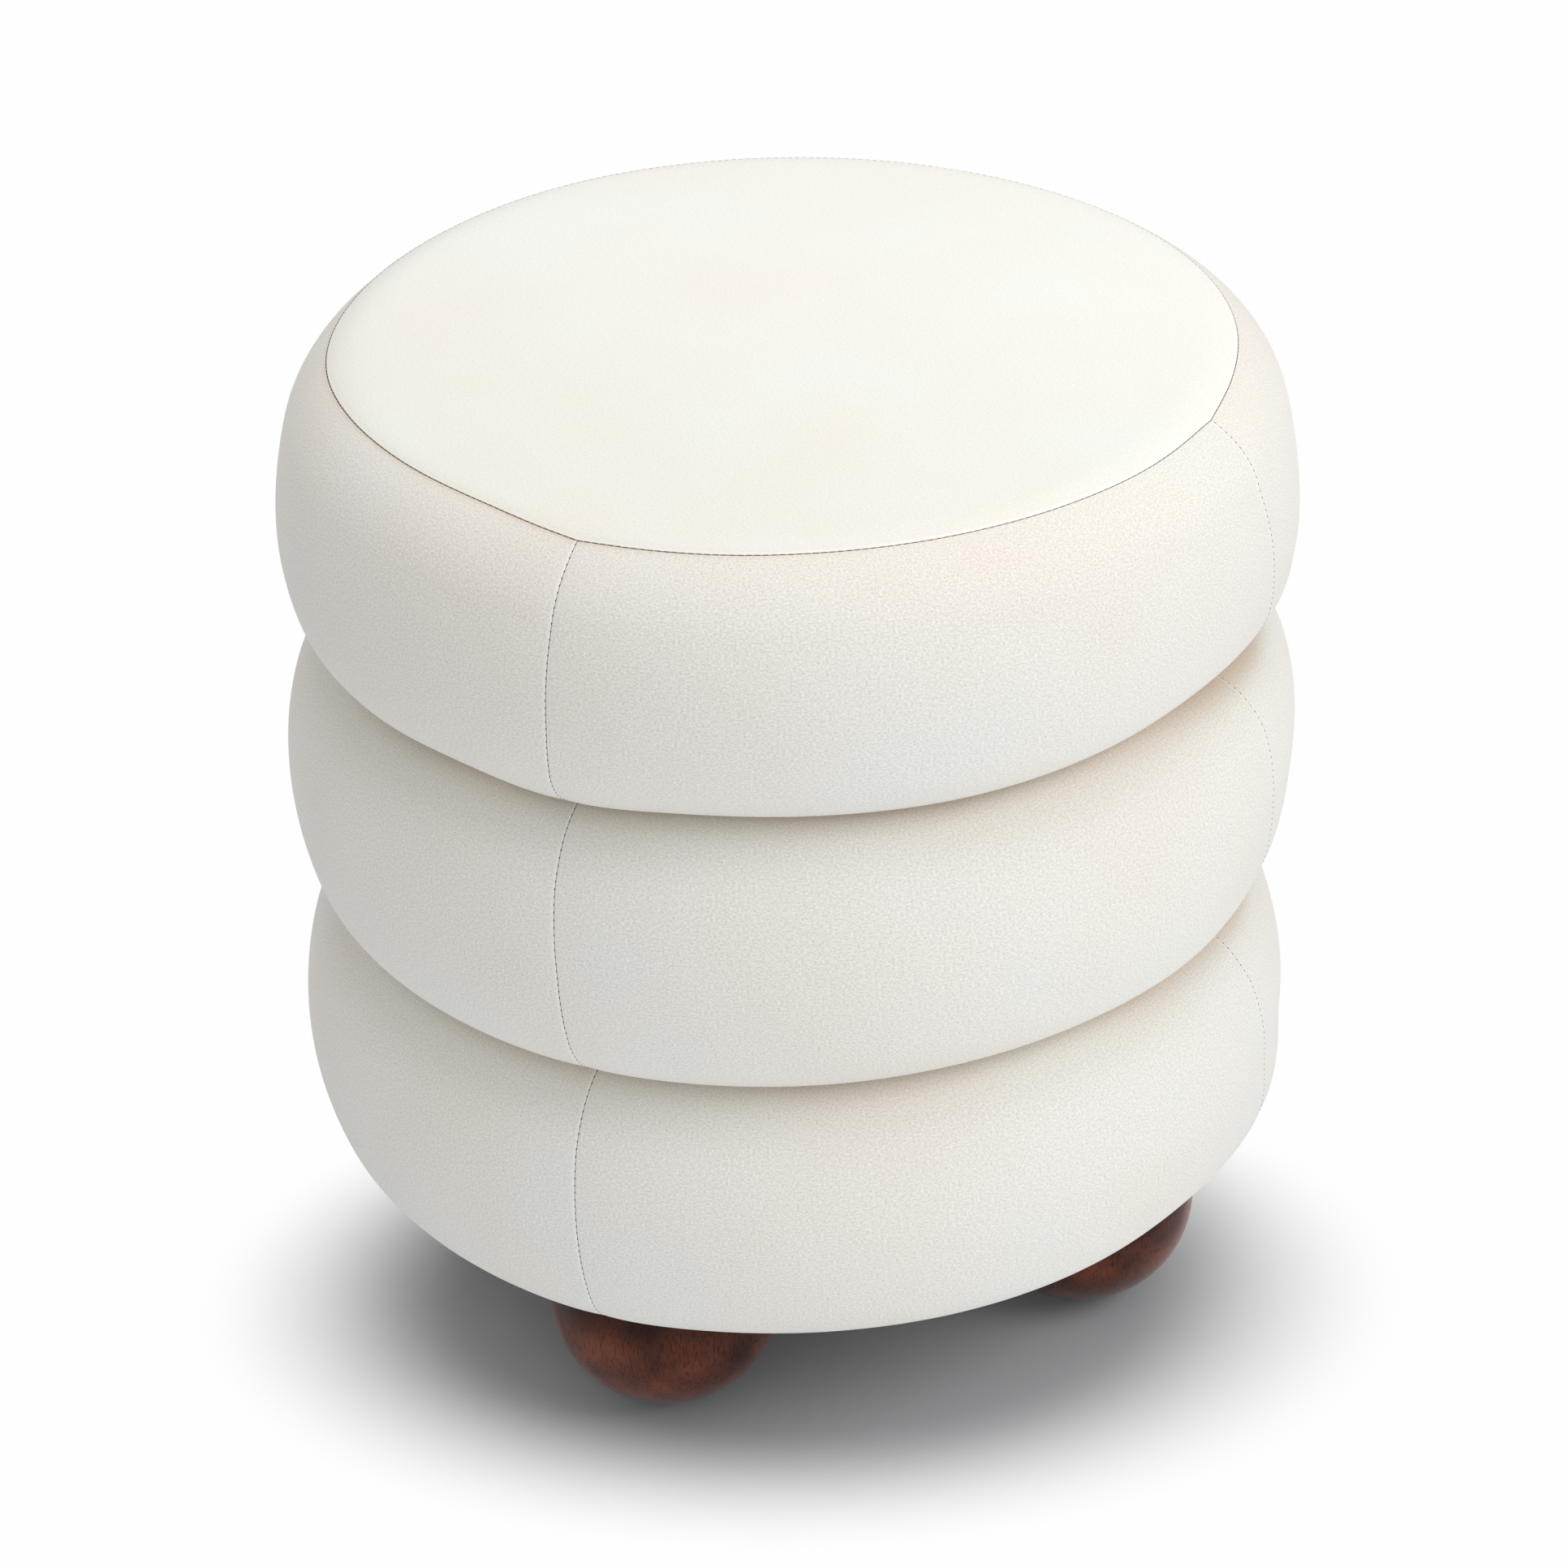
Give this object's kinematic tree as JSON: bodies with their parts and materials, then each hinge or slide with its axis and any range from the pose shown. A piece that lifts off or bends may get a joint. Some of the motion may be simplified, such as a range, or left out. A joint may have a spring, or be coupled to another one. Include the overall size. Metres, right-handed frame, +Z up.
{
  "type": "ottoman",
  "caption": "Round upholstered ottoman: stacked velvet rolls with deep creases and a flat sewn seat, on dark turned wooden ball feet.",
  "frame": {"origin": "on the floor, under the middle of the seat", "axes": "+Z up through the middle of the seat; the feet and the sewn panel joints lie on the diagonals, between X and Y; -Y is the front"},
  "size_m": [0.448, 0.448, 0.4665],
  "materials": {
    "velvet": "short-pile ivory velvet, matt with a soft sheen",
    "thread": "bonded polyester sewing thread",
    "wadding": "loose polyester wadding",
    "foam": "open-cell polyurethane foam",
    "cord": "twisted cotton piping cord",
    "plywood": "sanded birch plywood",
    "hardboard": "pressed hardboard sheet",
    "pine": "planed pine",
    "stained_wood": "turned hardwood, dark walnut stain, satin lacquer",
    "zinc_steel": "zinc-plated steel",
    "nylon": "moulded dark nylon",
    "cambric": "black non-woven dust cloth"
  },
  "bodies": {
    "root": {"back_post": "pine", "ball_foot_back_left": "stained_wood", "ball_foot_back_right": "stained_wood", "ball_foot_front_left": "stained_wood", "ball_foot_front_right": "stained_wood", "band_seam_thread": "thread", "base_board": "plywood", "bottom_band_back": "velvet", "bottom_band_front": "velvet", "bottom_band_left": "velvet", "bottom_band_right": "velvet", "bottom_foam_ring": "foam", "bottom_wadding": "wadding", "drum_wall": "hardboard", "dust_cover": "cambric", "dust_cover_staples": "zinc_steel", "frame_screws": "zinc_steel", "front_post": "pine", "glide_back_left": "nylon", "glide_back_right": "nylon", "glide_front_left": "nylon", "glide_front_right": "nylon", "hanger_bolts": "zinc_steel", "hem_staples": "zinc_steel", "left_post": "pine", "lower_crease_cord": "cord", "lower_hoop": "plywood", "middle_band_back": "velvet", "middle_band_front": "velvet", "middle_band_left": "velvet", "middle_band_right": "velvet", "middle_foam_ring": "foam", "middle_wadding": "wadding", "right_post": "pine", "seat_board": "plywood", "seat_foam_pad": "foam", "seat_panel": "velvet", "seat_seam_thread": "thread", "seat_wadding": "wadding", "tee_nuts": "zinc_steel", "top_band_back": "velvet", "top_band_front": "velvet", "top_band_left": "velvet", "top_band_right": "velvet", "top_foam_ring": "foam", "upper_crease_cord": "cord", "upper_hoop": "plywood"}
  },
  "joints": []
}
